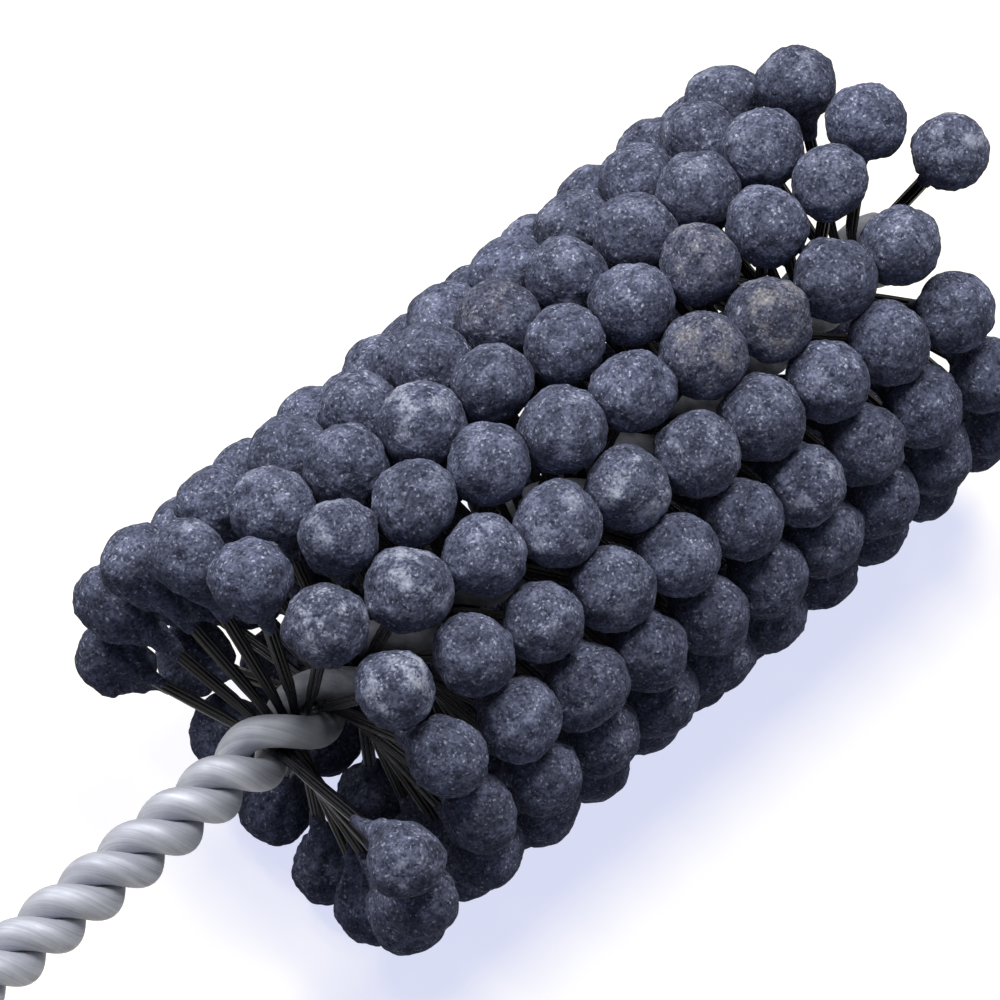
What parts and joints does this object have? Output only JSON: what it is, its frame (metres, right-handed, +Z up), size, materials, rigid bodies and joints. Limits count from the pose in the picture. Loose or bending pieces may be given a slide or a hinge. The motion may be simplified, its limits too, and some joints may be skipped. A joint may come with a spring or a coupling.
{
  "type": "flexible ball hone",
  "caption": "Twisted-wire stem carrying a double helix of bristle bundles tipped with abrasive balls, for finishing the walls of bores",
  "frame": {"origin": "on the stem's axis at its cut drive end, where a chuck takes it", "axes": "+X runs along the stem from the drive end to the tip of the brush, +Z is up as the hone lies on a surface, resting on its balls"},
  "size_m": [0.2072, 0.0498, 0.0498],
  "materials": {
    "wire": "galvanised steel wire, satin, drawn lengthwise",
    "bristle": "dark nylon filament with a soft gloss",
    "abrasive": "silicon carbide grit in a resin binder, matt and rough"
  },
  "bodies": {
    "stem": {"stem_wire_1": "wire", "stem_wire_2": "wire", "bristle_bundles_1": "bristle", "bristle_bundles_2": "bristle", "bristle_bundles_3": "bristle", "bristle_bundles_4": "bristle", "bristle_bundles_5": "bristle", "bristle_bundles_6": "bristle", "bristle_bundles_7": "bristle", "bristle_bundles_8": "bristle"},
    "column_01": {"ball_column_01": "abrasive"},
    "column_02": {"ball_column_02": "abrasive"},
    "column_03": {"ball_column_03": "abrasive"},
    "column_04": {"ball_column_04": "abrasive"},
    "column_05": {"ball_column_05": "abrasive"},
    "column_06": {"ball_column_06": "abrasive"},
    "column_07": {"ball_column_07": "abrasive"},
    "column_08": {"ball_column_08": "abrasive"},
    "column_09": {"ball_column_09": "abrasive"},
    "column_10": {"ball_column_10": "abrasive"},
    "column_11": {"ball_column_11": "abrasive"},
    "column_12": {"ball_column_12": "abrasive"},
    "column_13": {"ball_column_13": "abrasive"},
    "column_14": {"ball_column_14": "abrasive"},
    "column_15": {"ball_column_15": "abrasive"},
    "column_16": {"ball_column_16": "abrasive"}
  },
  "joints": [
    {"name": "bristle_flex_01", "type": "hinge", "parent": "stem", "child": "column_01", "pos_m": [0.15671, 0.00665, 0.00115], "axis": [0.998, -0.0106, 0.0616], "range_deg": [-15, 15], "stiffness_Nm_per_rad": 0.06, "deforming": ["bristle_bundles_1"]},
    {"name": "bristle_flex_02", "type": "hinge", "parent": "stem", "child": "column_02", "pos_m": [0.1577, 0.00567, 0.00366], "axis": [0.998, -0.0339, 0.0525], "range_deg": [-15, 15], "stiffness_Nm_per_rad": 0.06, "deforming": ["bristle_bundles_2"]},
    {"name": "bristle_flex_03", "type": "hinge", "parent": "stem", "child": "column_03", "pos_m": [0.1587, 0.00379, 0.00559], "axis": [0.998, -0.0517, 0.035], "range_deg": [-15, 15], "stiffness_Nm_per_rad": 0.06, "deforming": ["bristle_bundles_3"]},
    {"name": "bristle_flex_04", "type": "hinge", "parent": "stem", "child": "column_04", "pos_m": [0.15969, 0.0013, 0.00663], "axis": [0.998, -0.0613, 0.012], "range_deg": [-15, 15], "stiffness_Nm_per_rad": 0.06, "deforming": ["bristle_bundles_4"]},
    {"name": "bristle_flex_05", "type": "hinge", "parent": "stem", "child": "column_05", "pos_m": [0.15671, -0.00115, 0.00665], "axis": [0.998, -0.0618, -0.0107], "range_deg": [-15, 15], "stiffness_Nm_per_rad": 0.06, "deforming": ["bristle_bundles_5"]},
    {"name": "bristle_flex_06", "type": "hinge", "parent": "stem", "child": "column_06", "pos_m": [0.1577, -0.00366, 0.00567], "axis": [0.998, -0.0527, -0.034], "range_deg": [-15, 15], "stiffness_Nm_per_rad": 0.06, "deforming": ["bristle_bundles_6"]},
    {"name": "bristle_flex_07", "type": "hinge", "parent": "stem", "child": "column_07", "pos_m": [0.1587, -0.00559, 0.00379], "axis": [0.998, -0.0352, -0.052], "range_deg": [-15, 15], "stiffness_Nm_per_rad": 0.06, "deforming": ["bristle_bundles_7"]},
    {"name": "bristle_flex_08", "type": "hinge", "parent": "stem", "child": "column_08", "pos_m": [0.15969, -0.00663, 0.0013], "axis": [0.998, -0.0121, -0.0616], "range_deg": [-15, 15], "stiffness_Nm_per_rad": 0.06, "deforming": ["bristle_bundles_8"]},
    {"name": "bristle_flex_09", "type": "hinge", "parent": "stem", "child": "column_09", "pos_m": [0.15671, -0.00665, -0.00115], "axis": [0.998, 0.0106, -0.0616], "range_deg": [-15, 15], "stiffness_Nm_per_rad": 0.06, "deforming": ["bristle_bundles_1"]},
    {"name": "bristle_flex_10", "type": "hinge", "parent": "stem", "child": "column_10", "pos_m": [0.1577, -0.00567, -0.00366], "axis": [0.998, 0.0339, -0.0525], "range_deg": [-15, 15], "stiffness_Nm_per_rad": 0.06, "deforming": ["bristle_bundles_2"]},
    {"name": "bristle_flex_11", "type": "hinge", "parent": "stem", "child": "column_11", "pos_m": [0.1587, -0.00379, -0.00559], "axis": [0.998, 0.0517, -0.035], "range_deg": [-15, 15], "stiffness_Nm_per_rad": 0.06, "deforming": ["bristle_bundles_3"]},
    {"name": "bristle_flex_12", "type": "hinge", "parent": "stem", "child": "column_12", "pos_m": [0.15969, -0.0013, -0.00663], "axis": [0.998, 0.0613, -0.012], "range_deg": [-15, 15], "stiffness_Nm_per_rad": 0.06, "deforming": ["bristle_bundles_4"]},
    {"name": "bristle_flex_13", "type": "hinge", "parent": "stem", "child": "column_13", "pos_m": [0.15671, 0.00115, -0.00665], "axis": [0.998, 0.0618, 0.0107], "range_deg": [-15, 15], "stiffness_Nm_per_rad": 0.06, "deforming": ["bristle_bundles_5"]},
    {"name": "bristle_flex_14", "type": "hinge", "parent": "stem", "child": "column_14", "pos_m": [0.1577, 0.00366, -0.00567], "axis": [0.998, 0.0527, 0.034], "range_deg": [-15, 15], "stiffness_Nm_per_rad": 0.06, "deforming": ["bristle_bundles_6"]},
    {"name": "bristle_flex_15", "type": "hinge", "parent": "stem", "child": "column_15", "pos_m": [0.1587, 0.00559, -0.00379], "axis": [0.998, 0.0352, 0.052], "range_deg": [-15, 15], "stiffness_Nm_per_rad": 0.06, "deforming": ["bristle_bundles_7"]},
    {"name": "bristle_flex_16", "type": "hinge", "parent": "stem", "child": "column_16", "pos_m": [0.15969, 0.00663, -0.0013], "axis": [0.998, 0.0121, 0.0616], "range_deg": [-15, 15], "stiffness_Nm_per_rad": 0.06, "deforming": ["bristle_bundles_8"]}
  ],
  "couplings": [
    {"joint": "bristle_flex_02", "follows": "bristle_flex_01", "ratio": 1},
    {"joint": "bristle_flex_03", "follows": "bristle_flex_01", "ratio": 1},
    {"joint": "bristle_flex_04", "follows": "bristle_flex_01", "ratio": 1},
    {"joint": "bristle_flex_05", "follows": "bristle_flex_01", "ratio": 1},
    {"joint": "bristle_flex_06", "follows": "bristle_flex_01", "ratio": 1},
    {"joint": "bristle_flex_07", "follows": "bristle_flex_01", "ratio": 1},
    {"joint": "bristle_flex_08", "follows": "bristle_flex_01", "ratio": 1},
    {"joint": "bristle_flex_09", "follows": "bristle_flex_01", "ratio": 1},
    {"joint": "bristle_flex_10", "follows": "bristle_flex_01", "ratio": 1},
    {"joint": "bristle_flex_11", "follows": "bristle_flex_01", "ratio": 1},
    {"joint": "bristle_flex_12", "follows": "bristle_flex_01", "ratio": 1},
    {"joint": "bristle_flex_13", "follows": "bristle_flex_01", "ratio": 1},
    {"joint": "bristle_flex_14", "follows": "bristle_flex_01", "ratio": 1},
    {"joint": "bristle_flex_15", "follows": "bristle_flex_01", "ratio": 1},
    {"joint": "bristle_flex_16", "follows": "bristle_flex_01", "ratio": 1}
  ]
}
